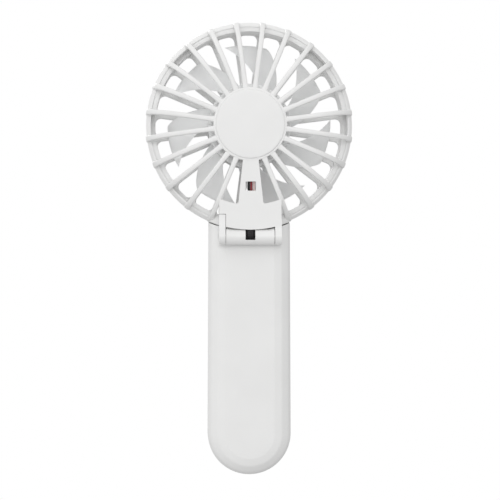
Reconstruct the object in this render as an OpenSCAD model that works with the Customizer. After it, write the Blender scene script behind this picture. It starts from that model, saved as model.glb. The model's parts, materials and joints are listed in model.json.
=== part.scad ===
// Handheld electric fan with a folding head.
// +Z runs up the grip, -Y is the back (hinge and air inlet), +Y is the front (air outlet).
// The origin is the middle of the hand grip. All sizes are in millimetres.

/* [Head] */
// Outer radius of the round head
head_r = 46.5; // [46:0.1:46.8]
// Height of the fan axis above the hinge axis
fan_rise = 50.2; // [50.2:0.1:50.6]
// Number of rib places round each guard
rib_count = 24; // [24]
// Width of one rib
rib_w = 2.2; // [1.8:0.1:2.4]
// How far a rib stands in from the guard's outer skin
rib_deep = 2.4; // [2:0.1:2.8]
// Outer radius of the rear hub
hub_r = 16.4; // [16.2:0.1:16.6]

/* [Impeller] */
// Number of blades
blade_count = 7; // [5:1:9]
// Radius at the blade tips
blade_tip_r = 36.9; // [34:0.1:38]
// Outer radius of the impeller hub
rotor_r = 18.6; // [18.6:0.1:19]
// Thickness of a blade
blade_t = 1.3; // [1:0.1:1.6]

/* [Handle] */
// Full width of the grip at its lower end
grip_w = 37.4; // [37:0.1:38]
// Full thickness of the grip, back to front
grip_t = 24; // [24:0.1:24.4]
// Length of the grip from the hinge axis down to its end
grip_len = 107; // [106:0.5:110]
// Wall thickness of the grip's shells
wall = 1.8; // [1.6:0.1:2]

/* [Hinge] */
// Height of the hinge axis above the middle of the grip
hinge_z = 52; // [52]
// How far the hinge axis stands behind the grip's flat back
hinge_out = 2.75; // [2.75]
// Radius of the hinge barrel and of the ears
barrel_r = 3.5; // [3.4:0.05:3.5]
// Length of the hinge barrel
barrel_l = 21.6; // [21.4:0.1:21.6]
// Radius of a hinge pin
pin_r = 1.1; // [1:0.05:1.2]

/* [Motor] */
// Radius of the motor shaft
shaft_r = 1.5; // [1.5]
// Outer radius of the rotor cup
cup_r = 14.5; // [14.5]
// Number of stator teeth
tooth_count = 9; // [6:3:9]

/* [Hidden] */
$fn = 96;
back_y = -grip_t / 2;
front_y = grip_t / 2;
hinge_y = back_y - hinge_out;
fan_z = hinge_z + fan_rise;
plateau_y = back_y - 5.3;      // back face of the hub, the spoke and the neck
rib_pitch = 360 / rib_count;
dome_r0 = 30;                  // the ribs are flat inside this radius
dome_r1 = head_r + 0.4;        // and stand a little proud of the rim
rim_y = -3.5;                  // where the dome meets the rim's side
rim_in = 44.4;                 // inner radius of the rear rim
split_y = 2.1;                 // parting line between the two guards
mouth_r = 42.3;                // front opening
spigot_y = -5.2;               // rear end of the front guard's plug-in wall
skin_y = front_y - 0.4;        // front face of the front ribs
neck_r = 47;                   // lower end of the neck, about the fan axis
saddle_r = neck_r + 0.5;       // concave top of the grip, about the fan axis
neck_in = 36;                  // upper edge of the neck's raised plate
neck_half = 13.85;             // half width of that plate
ear_in = barrel_l / 2 + 0.2;   // an ear's inner face
ear_out = ear_in + 3;
grip_round = grip_w / 2;       // radius of the grip's lower end
grip_top_half = grip_w / 2 - 0.4;
grip_zc = hinge_z - grip_len + grip_round;
run = 0.05;                    // running clearance of the pins and the shaft
duct_side = 1.2;               // side walls of the cable spoke
hub_base_y = -10;              // front face of the rear hub's base plate
neck_front_y = -6;             // front face of the neck's raised plate
rib_back_y = plateau_y + 0.1;
lead_r = 0.5;
lead_y = plateau_y + 2.1;      // the leads' depth in the spoke
lead_x = [[-1.3, -1.6], [0.4, 0.2], [1.7, 1.9]];  // upper and lower place of each lead
sleeve_r = 1.95;
// The sleeve comes down inside the neck, crosses the hinge axis and turns forwards into the grip.
sleeve_path = [[0, -14.2, 63], [0, -14.2, 60], [0, -14.3, 57], [0, -14.4, 54.6], [0, -14.2, 52.9],
               [0, -13.3, 51.8], [0, -11.9, 51.5], [0, -10.2, 51.4], [0, -8, 51.4]];
battery_low = [-12.4, -9.4, -36];
battery_high = [12.4, -1.6, 15];
plug_z = [19, 25];
button_r = 6.4;
button_z = 30;
board_y = 1.6;                 // back face of the main board
board_t = 1.2;
board_half = 11;
board_z = [-51, 43];
board_front = board_y + board_t;
plunger_top = board_front + 4.3;
light_z = button_z - 13;
light_step = 3.2;              // distance between two charge lights
grip_low = hinge_z - grip_len; // the grip's lower end
stator_y = -6.6;               // back face of the stator's plates
stator_t = 4;
screw_circle = 11;             // radius of the circle that the motor's screws stand on
clip_at = [45, 90, 135, 225, 270, 315];  // angles of the clips between the guards
post_at = [[-8, 23], [8, 40], [-8, -46.5]];

white = [0.93, 0.93, 0.92];
inner_white = [0.88, 0.89, 0.89];
black = [0.06, 0.06, 0.06];
steel = [0.7, 0.71, 0.72];
copper = [0.75, 0.42, 0.22];
green = [0.08, 0.32, 0.2];

// ---- placing helpers ----

// Turns a solid of revolution about Z into one about the fan axis, with its height along +Y.
module on_fan() {
  translate([0, 0, fan_z]) rotate([-90, 0, 0]) children();
}

// A disc or tube about the fan axis, from y0 to y1.
module ring(r, y0, y1, r_in = 0) {
  on_fan() translate([0, 0, y0]) difference() {
    cylinder(r = r, h = y1 - y0);
    if (r_in > 0) translate([0, 0, -1]) cylinder(r = r_in, h = y1 - y0 + 2);
  }
}

// Solid of revolution about the fan axis from [radius, y] points.
module turned(points) {
  on_fan() rotate_extrude() polygon(points);
}

// Places a child built along +Z at angle a round the fan axis, measured from straight up towards +X.
module spoke_at(a) {
  translate([0, 0, fan_z]) rotate([0, a, 0]) children();
}

// A flat plate whose outline is given as [radius, y] points, centred on the plane x = 0.
module radial_plate(points, w) {
  rotate([0, -90, 0]) linear_extrude(height = w, center = true) polygon(points);
}

// An outline in the XZ plane, carried along Y from y0 to y1.
module slab(y0, y1) {
  translate([0, y1, 0]) rotate([90, 0, 0]) linear_extrude(height = y1 - y0) children();
}

// A rod along X through a point in the YZ plane.
module x_rod(r, x0, x1, y, z) {
  translate([x0, y, z]) rotate([0, 90, 0]) cylinder(r = r, h = x1 - x0);
}

// A rod along Y from y0 to y1.
module y_rod(r, x, z, y0, y1) {
  translate([x, y0, z]) rotate([-90, 0, 0]) cylinder(r = r, h = y1 - y0);
}

module block(x0, x1, y0, y1, z0, z1) {
  translate([x0, y0, z0]) cube([x1 - x0, y1 - y0, z1 - z0]);
}

// A round cable swept along a path. Each ring stands square to the path's direction at its point.
function unit(v) = v / norm(v);
function heading(p, i) = unit(p[min(i + 1, len(p) - 1)] - p[max(i - 1, 0)]);
function side_of(d) = unit(cross(d, abs(d[0]) < 0.9 ? [1, 0, 0] : [0, 1, 0]));
module cable(path, r, sides = 8) {
  last = len(path) - 1;
  points = [for (i = [0:last]) let (d = heading(path, i), u = side_of(d), v = cross(d, u))
    for (k = [0:sides - 1]) path[i] + r * (cos(360 * k / sides) * u + sin(360 * k / sides) * v)];
  walls = [for (i = [0:last - 1], k = [0:sides - 1]) let (n = (k + 1) % sides, a = i * sides)
    [a + k, a + n, a + sides + n, a + sides + k]];
  ends = [[for (k = [sides - 1:-1:0]) k], [for (k = [0:sides - 1]) last * sides + k]];
  polyhedron(points, concat(ends, walls), convexity = 4);
}

// ---- head ----

// Outer and inner curves of a rear rib: flat at the hub, then a quarter of an ellipse down to the rim.
function dome(r0, r1, y0, y1, a0 = 0, a1 = 90, n = 8) =
  [for (i = [0:n]) let (a = a0 + (a1 - a0) * i / n) [r0 + (r1 - r0) * sin(a), y1 - (y1 - y0) * cos(a)]];

rear_rib_points = concat([[hub_r - 1, rib_back_y]], dome(dome_r0, dome_r1, rib_back_y, rim_y),
                         [[dome_r1, split_y - 0.1], [rim_in + 0.6, split_y - 0.1], [rim_in + 0.6, rim_y]],
                         [for (i = [8:-1:0]) dome(dome_r0, rim_in + 0.6, plateau_y + rib_deep, rim_y - 1)[i]],
                         [[hub_r - 1, plateau_y + rib_deep]]);

module rear_ribs() {
  for (i = [0:rib_count - 1]) {
    a = rib_pitch * (i + 0.5);
    if (abs(a - 180) > rib_pitch) spoke_at(a) radial_plate(rear_rib_points, rib_w);
  }
}

module rear_rim() {
  turned([[rim_in, -6], [rim_in + 1.2, -6], [head_r - 0.5, -4.8], [head_r, rim_y],
          [head_r, split_y], [rim_in, split_y]]);
}

// Cable spoke from the hub to the neck, a channel open to the front with a window in its back.
module duct_outline(grow, more) {
  polygon([[-3.6 - grow, -hub_r + 1 + more], [3.6 + grow, -hub_r + 1 + more],
           [5.9 + grow, -neck_in - 2 - more], [-5.9 - grow, -neck_in - 2 - more]]);
}

module duct() {
  translate([0, 0, fan_z]) difference() {
    slab(plateau_y, plateau_y + 4) duct_outline(0, 0);
    slab(plateau_y + 1, plateau_y + 5) duct_outline(-duct_side, 1);
  }
}

// The part of the ring between r0 and r1 below the fan axis, as wide as 2 * half.
module neck_sector(r0, r1, half, y0, y1) {
  intersection() {
    ring(r1, y0, y1, r0);
    block(-half, half, y0 - 1, y1 + 1, fan_z - r1 - 1, fan_z - r0 * 0.55);
  }
}

module neck() {
  difference() {
    union() {
      neck_sector(neck_in, neck_r, neck_half, plateau_y, neck_front_y);
      neck_sector(rim_in - 1.2, neck_r, grip_top_half, -10.5, neck_front_y);
      neck_sector(rim_in, neck_r, grip_top_half, neck_front_y - 0.5, split_y - 0.1);
    }
    neck_sector(neck_in + 2, neck_r - 1.8, neck_half - 4.2, plateau_y + 1, neck_front_y + 0.01);
    neck_sector(rim_in - 3, rim_in, grip_top_half + 1, -6, split_y);
  }
}

module ear_shape(x0, x1) {
  x_rod(barrel_r, x0, x1, hinge_y, hinge_z);
  block(x0, x1, plateau_y, hinge_y + 2.4, hinge_z, hinge_z + 6);
}

module rear_guard() {
  color(white) difference() {
    union() {
      difference() {
        union() {
          ring(hub_r, plateau_y, hub_base_y, 14.9);
          ring(hub_r - 1, hub_base_y - 1.4, hub_base_y);
          ring(5.6, -16, hub_base_y);
          rear_ribs();
          rear_rim();
          duct();
          neck();
        }
        // room for the hinge barrel, for the left ear and for the sleeve
        x_rod(barrel_r + 0.3, -ear_out - 1, ear_in, hinge_y, hinge_z);
        block(-ear_out - 0.1, -ear_in + 0.1, plateau_y - 1, hinge_y + 2.5, hinge_z - 4, hinge_z + 10.1);
        block(-2.3, 2.3, plateau_y + 1, -11.8, hinge_z, hinge_z + 8);
      }
      ear_shape(ear_in, ear_out);
    }
    ring(4, -17, -9);
    ring(15.35, plateau_y - 1, plateau_y + 0.8);
    // cable holes from the hub into the spoke and on into the neck, and the window in the spoke
    block(-2.4, 2.4, plateau_y + 1, plateau_y + 3.8, fan_z - hub_r - 2, fan_z - 13);
    block(-3.5, 3.5, plateau_y + 1, plateau_y + 3.8, fan_z - neck_in - 3, fan_z - neck_in + 1);
    block(-2.45, 2.45, plateau_y - 1, plateau_y + 1.5, fan_z - 29.2, fan_z - 25);
    // pin hole in the right ear, screw holes, and pockets for the front guard's clips
    x_rod(pin_r, ear_in - 1, ear_out - 0.8, hinge_y, hinge_z);
    motor_screw_holes();
    for (a = clip_at) spoke_at(a) block(-4.2, 4.2, -1.2, 1.2, rim_in - 1, rim_in + 0.9);
  }
}

// The cap's skirt is notched where the leads leave the hub.
module hub_cap() {
  color(white) difference() {
    turned([[0, plateau_y - 0.6], [14.9, plateau_y - 0.6], [15.3, plateau_y - 0.3], [15.3, plateau_y + 0.8],
            [14.8, plateau_y + 0.8], [14.8, plateau_y + 2.4], [13.6, plateau_y + 2.4],
            [13.6, plateau_y + 0.4], [0, plateau_y + 0.4]]);
    block(-2.7, 2.7, plateau_y + 0.9, plateau_y + 3, fan_z - 15.5, fan_z - 12);
  }
}

module hinge_ear() {
  color(white) difference() {
    union() {
      x_rod(barrel_r, -ear_out, -ear_in, hinge_y, hinge_z);
      block(-ear_out, -ear_in, plateau_y, hinge_y + 2.4, hinge_z, hinge_z + 10);
    }
    x_rod(pin_r, -ear_out + 0.8, -ear_in + 1, hinge_y, hinge_z);
  }
}

module front_guard() {
  color(white) {
    turned([[mouth_r + 0.4, spigot_y], [rim_in - 0.15, spigot_y], [rim_in - 0.15, split_y], [head_r, split_y],
            [head_r, 9], [head_r - 0.6, 10.8], [head_r - 2, front_y], [mouth_r, front_y], [mouth_r, 9.4]]);
    for (i = [0:rib_count - 1]) spoke_at(rib_pitch * (i + 0.5)) front_rib();
    ring(18.8, 9.2, front_y, 14.6);
    ring(15, 9.2, 10.2);
    for (a = clip_at) spoke_at(a) block(-4, 4, -1, 1, rim_in - 0.6, rim_in + 0.7);
  }
}

module front_rib() {
  radial_plate([[18, 9.3], [mouth_r + 1, 9.3], [mouth_r + 1, skin_y], [18, skin_y]], rib_w);
}

module front_cap() {
  color(inner_white) turned([[0, 10.2], [14.5, 10.2], [14.5, front_y], [13.6, front_y + 0.5], [0, front_y + 0.5]]);
}

module bearing_tube() {
  color([0.8, 0.65, 0.3]) ring(4, -14.6, -1.5, 3);
}

module bearings() {
  color(steel) for (y = [-14.5, -4]) ring(3, y, y + 2.5, shaft_r + run);
}

module stator_core() {
  color(steel) difference() {
    union() {
      ring(6.2, stator_y, stator_y + stator_t, 4);
      for (i = [0:tooth_count - 1]) spoke_at(360 * i / tooth_count) stator_tooth();
    }
    ring(4, stator_y - 1, stator_y + stator_t + 1);
  }
}

module stator_tooth() {
  block(-1.1, 1.1, stator_y, stator_y + stator_t, 5, 11.5);
  intersection() {
    block(-3.3, 3.3, stator_y, stator_y + stator_t, 10.4, 13);
    translate([0, stator_y, 0]) rotate([-90, 0, 0]) cylinder(r = 12.2, h = stator_t);
  }
}

module stator_coils() {
  color(copper) for (i = [0:tooth_count - 1]) spoke_at(360 * i / tooth_count) difference() {
    block(-2, 2, stator_y - 0.9, stator_y + stator_t + 0.9, 6.8, 10.2);
    block(-1.15, 1.15, stator_y - 0.05, stator_y + stator_t + 0.05, 6, 11);
  }
}

module motor_screw_holes() {
  for (a = [0, 120, 240]) spoke_at(a) translate([0, 0, screw_circle]) rotate([90, 0, 0])
    cylinder(r = 0.8, h = 40, center = true);
}

module motor_board() {
  color(green) difference() {
    ring(12.4, -10, -9, 4.1);
    motor_screw_holes();
  }
}

module motor_screws() {
  color(steel) for (a = [0, 120, 240]) spoke_at(a) translate([0, 0, screw_circle]) {
    translate([0, -9, 0]) rotate([-90, 0, 0]) cylinder(r = 1.3, h = 0.8);
    translate([0, -13.4, 0]) rotate([-90, 0, 0]) cylinder(r = 0.8, h = 4.4);
  }
}

// The leads run from the hub down the spoke's channel to the top of the sleeve.
module lead(x) {
  cable([[x[0], lead_y, fan_z - 12.6], [x[0], lead_y, fan_z - 17], [x[0], lead_y, fan_z - 22],
         [(x[0] + x[1]) / 2, lead_y, fan_z - 27], [x[1], lead_y, fan_z - 32],
         [x[1] * 0.8, lead_y + 0.4, fan_z - 35.5], [x[1] * 0.5, hinge_y + 0.2, fan_z - 39]], lead_r);
}

module lead_black() { color(black) lead(lead_x[0]); }
module lead_red() { color([0.45, 0.08, 0.08]) lead(lead_x[1]); }
module lead_white() { color([0.85, 0.78, 0.76]) lead(lead_x[2]); }

// ---- impeller ----

// A blade's outline in polar form. Both edges sweep round as the radius grows, and the trailing one
// rounds off at the tip. s runs from 0 at the hub to 1 at the tip, t from 0 to 1 across the blade.
function edge_lead(s) = 14 - 31.5 * s;
function edge_trail(s) = 41 - 26 * s - 1.6 * pow(s, 14);
function blade_point(s, t, side) =
  let (r = rotor_r - 1 + (blade_tip_r - rotor_r + 1) * s, a = edge_lead(s) + (edge_trail(s) - edge_lead(s)) * t,
       y = -2.6 + 9.2 * t - 1.2 * s * (1 - t) + 1.1 * sin(180 * t) + side * blade_t / 2)
  [r * sin(a), y, r * cos(a)];

module blade() {
  ns = 8;
  nt = 6;
  row = nt + 1;
  skin = (ns + 1) * row;
  points = [for (side = [-1, 1], i = [0:ns], j = [0:nt]) blade_point(i / ns, j / nt, side)];
  quads = [for (i = [0:ns - 1], j = [0:nt - 1]) let (a = i * row + j) [a, a + 1, a + row + 1, a + row]];
  back = [for (q = quads, h = [0, 1]) h == 0 ? [q[0], q[2], q[1]] : [q[0], q[3], q[2]]];
  front = [for (f = back) [f[2] + skin, f[1] + skin, f[0] + skin]];
  loop = concat([for (j = [0:nt]) j], [for (i = [1:ns]) i * row + nt],
                [for (j = [nt - 1:-1:0]) ns * row + j], [for (i = [ns - 1:-1:1]) i * row]);
  n = len(loop);
  rim = [for (k = [0:n - 1], h = [0, 1]) let (a = loop[k], b = loop[(k + 1) % n])
    h == 0 ? [a, b + skin, a + skin] : [a, b, b + skin]];
  polyhedron(points, concat(back, front, rim), convexity = 6);
}

module impeller() {
  color(inner_white) {
    turned([[rotor_r, -9.2], [rotor_r, 4.4], [rotor_r - 0.6, 5.6], [rotor_r - 1.8, 6.2], [0, 6.2], [0, 4.4],
            [17.4, 4.4], [17.4, -8.2], [16.8, -8.2], [16.8, -9.2]]);
    ring(15.6, -7.4, 4.6, cup_r);
    ring(3.6, 2, 4.6, shaft_r);
    for (i = [0:blade_count - 1]) spoke_at(360 * i / blade_count) blade();
  }
}

module rotor_cup() {
  color(steel) turned([[cup_r, -7.2], [cup_r, 1.2], [shaft_r, 1.2], [shaft_r, 0.4], [cup_r - 0.8, 0.4],
                       [cup_r - 0.8, -7.2]]);
}

module magnet_ring() {
  color([0.2, 0.2, 0.22]) ring(cup_r - 0.8, -7, -0.6, 12.7);
}

module motor_shaft() {
  color(steel) ring(shaft_r, -15.4, 4.3);
}

module shaft_clip() {
  color(steel) ring(2.6, -15.2, -14.7, shaft_r);
}

// ---- handle ----

// The grip's outline, taken in all round by inset.
module grip_outline(inset) {
  translate([0, grip_zc]) circle(r = grip_round - inset, $fn = 40);
  polygon([[-grip_round + inset, grip_zc], [grip_round - inset, grip_zc],
           [grip_top_half - inset, hinge_z + 12], [-grip_top_half + inset, hinge_z + 12]]);
}

// The grip as one block with bevelled and rounded long edges, taken in by shrink on every side.
module grip_block(shrink) {
  hull() for (layer = [[0, 7.9], [0.7, 4.3], [2, 2], [4.4, 0.5], [7, 0]]) {
    y = front_y - shrink - layer[0];
    slab(-y, y) grip_outline(layer[1] + shrink);
  }
}

module grip_shell() {
  difference() {
    grip_block(0);
    difference() {
      grip_block(wall);
      ring(saddle_r + wall, -30, 30);
    }
    ring(saddle_r, -30, 30);
  }
}

module handle_back() {
  color(white) difference() {
    union() {
      intersection() {
        grip_shell();
        block(-30, 30, -30, 0, -80, 80);
      }
      x_rod(barrel_r, -barrel_l / 2, barrel_l / 2, hinge_y, hinge_z);
      block(-barrel_l / 2, barrel_l / 2, hinge_y, back_y + 1, hinge_z - barrel_r + 0.6, hinge_z + 1.6);
      for (p = post_at) y_rod(2.2, p[0], p[1], back_y + 1, board_y);
    }
    // pockets that the ears turn in
    for (side = [0, 1]) mirror([side, 0, 0])
      x_rod(barrel_r + 0.3, ear_in - 0.2, ear_out + 0.2, hinge_y, hinge_z);
    // bores for the pins and seats for the washers
    x_rod(pin_r + run, -barrel_l / 2 - 1, -5.5, hinge_y, hinge_z);
    x_rod(pin_r + run, 5.5, barrel_l / 2 + 1, hinge_y, hinge_z);
    x_rod(2.6, -barrel_l / 2 - 1, -barrel_l / 2 + 0.5, hinge_y, hinge_z);
    x_rod(2.6, barrel_l / 2 - 0.5, barrel_l / 2 + 1, hinge_y, hinge_z);
    // slot for the sleeve: in from above at the back, then forwards into the grip
    block(-2.2, 2.2, hinge_y - 5, hinge_y + 1, hinge_z - 1.35, hinge_z + 6);
    block(-2.2, 2.2, hinge_y - 1.9, back_y + 5, hinge_z - 2.7, hinge_z + 6);
    for (p = post_at) y_rod(0.8, p[0], p[1], board_y - 5, board_y + 1);
    usb_hole();
  }
}

module usb_hole() {
  block(-4.6, 4.6, -1.75, 1.75, grip_low - 2, grip_low + 6);
}

module handle_front() {
  color(white) difference() {
    intersection() {
      grip_shell();
      block(-30, 30, 0.02, 30, -80, 80);
    }
    y_rod(button_r + 0.25, 0, button_z, 5, 20);
    for (i = [-1.5:1:1.5]) y_rod(0.8, light_step * i, light_z, 5, 20);
    usb_hole();
  }
}

module hinge_pins() {
  color(steel) for (side = [0, 1]) mirror([side, 0, 0]) x_rod(pin_r, 6, ear_out - 0.8, hinge_y, hinge_z);
}

module friction_washers() {
  color(steel) for (side = [0, 1]) mirror([side, 0, 0]) difference() {
    x_rod(2.5, barrel_l / 2 - 0.45, barrel_l / 2 + 0.1, hinge_y, hinge_z);
    x_rod(pin_r + run, barrel_l / 2 - 1, barrel_l / 2 + 1, hinge_y, hinge_z);
  }
}

module battery_cell() {
  color([0.3, 0.45, 0.7]) translate(battery_low) cube(battery_high - battery_low);
}

module battery_foam() {
  color([0.25, 0.25, 0.25]) {
    block(-8.8, 8.8, battery_low[1] - 0.7, battery_low[1] - 0.05, -32, -12);
    block(-8.8, 8.8, battery_high[1] + 0.05, board_y - 0.1, -32, -20);
  }
}

module battery_leads() {
  color([0.6, 0.1, 0.1]) for (x = [-3, -1])
    cable([[x, -5, battery_high[2] + 0.05], [x, -5, 18], [x, -4, 20.5], [x, -2, 21.5], [x, -1.3, 21.5]], 0.6);
}

module battery_plug() {
  color([0.9, 0.88, 0.8]) block(-5, 1, -1.2, board_y, plug_z[0], plug_z[1]);
}

module motor_plug() {
  color([0.9, 0.88, 0.8]) block(-3.5, 3.5, -5, board_y, 34, 38.6);
}

// The board's lower corners are cut off to clear the grip's round end.
module main_board() {
  color(green) difference() {
    slab(board_y, board_front)
      polygon([[-board_half, board_z[1]], [board_half, board_z[1]], [board_half, board_z[0] + 4],
               [board_half - 4.5, board_z[0]], [4.5 - board_half, board_z[0]], [-board_half, board_z[0] + 4]]);
    for (p = post_at) y_rod(0.8, p[0], p[1], board_y - 1, board_front + 1);
  }
}

module board_screws() {
  color(steel) for (p = post_at) {
    y_rod(0.8, p[0], p[1], board_y - 4.5, board_front);
    y_rod(1.6, p[0], p[1], board_front, board_front + 1);
  }
}

module usb_socket() {
  color(steel) difference() {
    block(-4.47, 4.47, -1.6, board_y, grip_low + 0.6, grip_low + 7.9);
    block(-4.17, 4.17, -1.3, 1.3, grip_low, grip_low + 6.8);
  }
}

module switch_body() {
  color([0.15, 0.15, 0.15]) difference() {
    block(-3, 3, board_front, board_front + 3.4, button_z - 3, button_z + 3);
    y_rod(1.85, 0, button_z, board_front + 1.4, 9);
  }
}

module switch_plunger() {
  color([0.8, 0.1, 0.1]) y_rod(1.75, 0, button_z, board_front + 2.2, plunger_top);
}

module power_button() {
  color(white) {
    y_rod(button_r, 0, button_z, front_y - 3.2, front_y + 0.9);
    y_rod(button_r + 1.4, 0, button_z, front_y - 3.4, front_y - wall - 0.1);
    y_rod(1.6, 0, button_z, plunger_top, front_y - 3);
  }
}

module indicator_lights() {
  color([0.9, 0.9, 0.7]) for (i = [-1.5:1:1.5])
    block(light_step * i - 0.8, light_step * i + 0.8, board_front, board_front + 0.7, light_z - 0.5, light_z + 0.5);
}

module light_guide() {
  color([0.85, 0.9, 0.95]) {
    block(-6.2, 6.2, front_y - wall - 1.8, front_y - wall - 0.1, light_z - 1.4, light_z + 1.4);
    for (i = [-1.5:1:1.5]) {
      y_rod(0.75, light_step * i, light_z, front_y - wall - 0.5, front_y);
      y_rod(0.7, light_step * i, light_z, board_front + 1, front_y - wall - 1);
    }
  }
}

module cable_sleeve() {
  color(black) cable(sleeve_path, sleeve_r);
}

rear_guard();
hub_cap();
hinge_ear();
front_guard();
front_cap();
bearing_tube();
bearings();
stator_core();
stator_coils();
motor_board();
motor_screws();
lead_black();
lead_red();
lead_white();
impeller();
rotor_cup();
magnet_ring();
motor_shaft();
shaft_clip();
handle_back();
handle_front();
hinge_pins();
friction_washers();
battery_cell();
battery_foam();
battery_leads();
battery_plug();
main_board();
usb_socket();
switch_body();
indicator_lights();
light_guide();
board_screws();
motor_plug();
power_button();
switch_plunger();
cable_sleeve();
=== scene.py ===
"""Handheld electric fan with a folding head: the visual model.

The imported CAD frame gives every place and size. Each sub-assembly is a class that builds its meshes from
formulas on numpy grids, dresses them with a finish, and rides them on their CAD bodies.
Lengths inside the classes are millimetres; MM turns them into the scene's metres.
"""

import json
import logging
import math
from dataclasses import dataclass
from enum import Enum

import bmesh
import bpy
import numpy as np
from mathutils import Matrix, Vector

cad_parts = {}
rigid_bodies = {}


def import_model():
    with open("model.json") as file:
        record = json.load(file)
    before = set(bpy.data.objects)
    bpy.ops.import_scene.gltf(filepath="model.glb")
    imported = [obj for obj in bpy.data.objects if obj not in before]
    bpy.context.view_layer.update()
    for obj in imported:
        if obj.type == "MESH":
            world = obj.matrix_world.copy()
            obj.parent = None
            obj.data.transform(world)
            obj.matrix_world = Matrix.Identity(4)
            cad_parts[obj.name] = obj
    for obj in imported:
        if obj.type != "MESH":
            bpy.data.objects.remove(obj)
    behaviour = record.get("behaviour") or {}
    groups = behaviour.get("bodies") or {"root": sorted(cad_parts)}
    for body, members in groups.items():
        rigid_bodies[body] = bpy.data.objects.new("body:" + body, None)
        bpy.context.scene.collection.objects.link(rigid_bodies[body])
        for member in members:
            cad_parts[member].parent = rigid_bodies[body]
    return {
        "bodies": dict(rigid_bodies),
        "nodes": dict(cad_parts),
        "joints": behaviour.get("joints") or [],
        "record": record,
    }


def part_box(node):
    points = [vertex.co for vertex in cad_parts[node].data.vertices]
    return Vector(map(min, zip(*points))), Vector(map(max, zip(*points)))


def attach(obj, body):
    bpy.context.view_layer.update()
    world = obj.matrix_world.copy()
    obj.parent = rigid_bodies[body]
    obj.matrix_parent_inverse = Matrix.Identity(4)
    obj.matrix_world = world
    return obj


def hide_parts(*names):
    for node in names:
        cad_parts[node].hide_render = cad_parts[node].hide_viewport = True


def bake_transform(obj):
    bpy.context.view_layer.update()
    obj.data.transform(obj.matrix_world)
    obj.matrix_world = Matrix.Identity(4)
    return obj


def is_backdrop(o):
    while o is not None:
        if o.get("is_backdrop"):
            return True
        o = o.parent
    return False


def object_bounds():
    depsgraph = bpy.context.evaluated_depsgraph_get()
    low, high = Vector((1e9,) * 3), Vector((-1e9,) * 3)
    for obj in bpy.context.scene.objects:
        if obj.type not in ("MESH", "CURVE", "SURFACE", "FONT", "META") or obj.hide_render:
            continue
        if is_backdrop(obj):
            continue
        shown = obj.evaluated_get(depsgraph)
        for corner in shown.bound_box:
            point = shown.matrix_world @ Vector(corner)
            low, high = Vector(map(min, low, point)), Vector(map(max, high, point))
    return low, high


MM = 0.001
SPIGOT_ENDS = ((-45, 45), (45, 90), (90, 225), (225, 270), (270, 315))  # clips between the arcs, in degrees
CLIP_HALF = 6.8  # half of a clip's gap, in degrees
LIGHT_PITCH = 3.2
LIGHT_DROP = 13.0  # charge lights below the button
SADDLE_STEP = 0.55  # how much nearer the front shell's saddle is, so that the slit is closed
LOG = logging.getLogger("hand_fan")


class Body(Enum):
    """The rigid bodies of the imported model."""

    HANDLE = "handle"
    HEAD = "head"
    ROTOR = "rotor"
    BUTTON = "button"


# ---------------------------------------------------------------- finishes


@dataclass(frozen=True)
class Moulded:
    """Injection-moulded plastic: fine spark-eroded grain, soft shade drift and a satin shine.

    Args:
        name: the material's name
        color: linear base colour
        rough: mean roughness
        grain_mm: size of one grain of the texture
        grain_depth: strength of the grain's bump
        drift: how far the shade wanders over the piece, as a share
        glow: subsurface weight, for plastic that lets a little light through
    """

    name: str
    color: tuple[float, float, float]
    rough: float = 0.42
    grain_mm: float = 0.35
    grain_depth: float = 0.05
    drift: float = 0.015
    glow: float = 0.0

    def build(self) -> bpy.types.Material:
        """Return the finished material."""
        mat, nodes, links, shader, coords = new_material(self.name)
        shader.inputs["IOR"].default_value = 1.5
        shader.inputs["Subsurface Weight"].default_value = self.glow
        shader.inputs["Subsurface Radius"].default_value = (1, 1, 1)
        shader.inputs["Subsurface Scale"].default_value = 0.0015
        wander = noise(nodes, links, coords, scale=60.0, detail=2.0)
        low = tuple(c * (1 - self.drift) for c in self.color)
        high = tuple(min(1.0, c * (1 + self.drift)) for c in self.color)
        shade = ramp(nodes, links, wander, low, high)
        links.new(shade, shader.inputs["Base Color"])
        smear = noise(nodes, links, coords, scale=140.0, detail=3.0)
        links.new(remap(nodes, links, smear, self.rough - 0.05, self.rough + 0.05), shader.inputs["Roughness"])
        grain = noise(nodes, links, coords, scale=1.0 / (self.grain_mm * MM), detail=2.0)
        bump(nodes, links, grain, shader, strength=self.grain_depth, distance=0.05 * MM)
        return mat


@dataclass(frozen=True)
class Metal:
    """Turned or ground metal with fine lines and a little uneven shine.

    Args:
        name: the material's name
        color: linear base colour
        rough: mean roughness
        line_mm: spacing of the machining lines
        axis_scale: stretch of the line pattern along X, Y and Z
    """

    name: str
    color: tuple[float, float, float]
    rough: float = 0.3
    line_mm: float = 0.12
    axis_scale: tuple[float, float, float] = (0.05, 1.0, 0.05)

    def build(self) -> bpy.types.Material:
        """Return the finished material."""
        mat, nodes, links, shader, coords = new_material(self.name)
        shader.inputs["Metallic"].default_value = 1.0
        mapping = nodes.new("ShaderNodeMapping")
        mapping.inputs["Scale"].default_value = self.axis_scale
        links.new(coords, mapping.inputs["Vector"])
        lines = noise(nodes, links, mapping.outputs["Vector"], scale=1.0 / (self.line_mm * MM), detail=3.0)
        low = tuple(c * 0.86 for c in self.color)
        links.new(ramp(nodes, links, lines, low, self.color), shader.inputs["Base Color"])
        links.new(remap(nodes, links, lines, self.rough - 0.08, self.rough + 0.1), shader.inputs["Roughness"])
        bump(nodes, links, lines, shader, strength=0.12, distance=0.02 * MM)
        return mat


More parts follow.
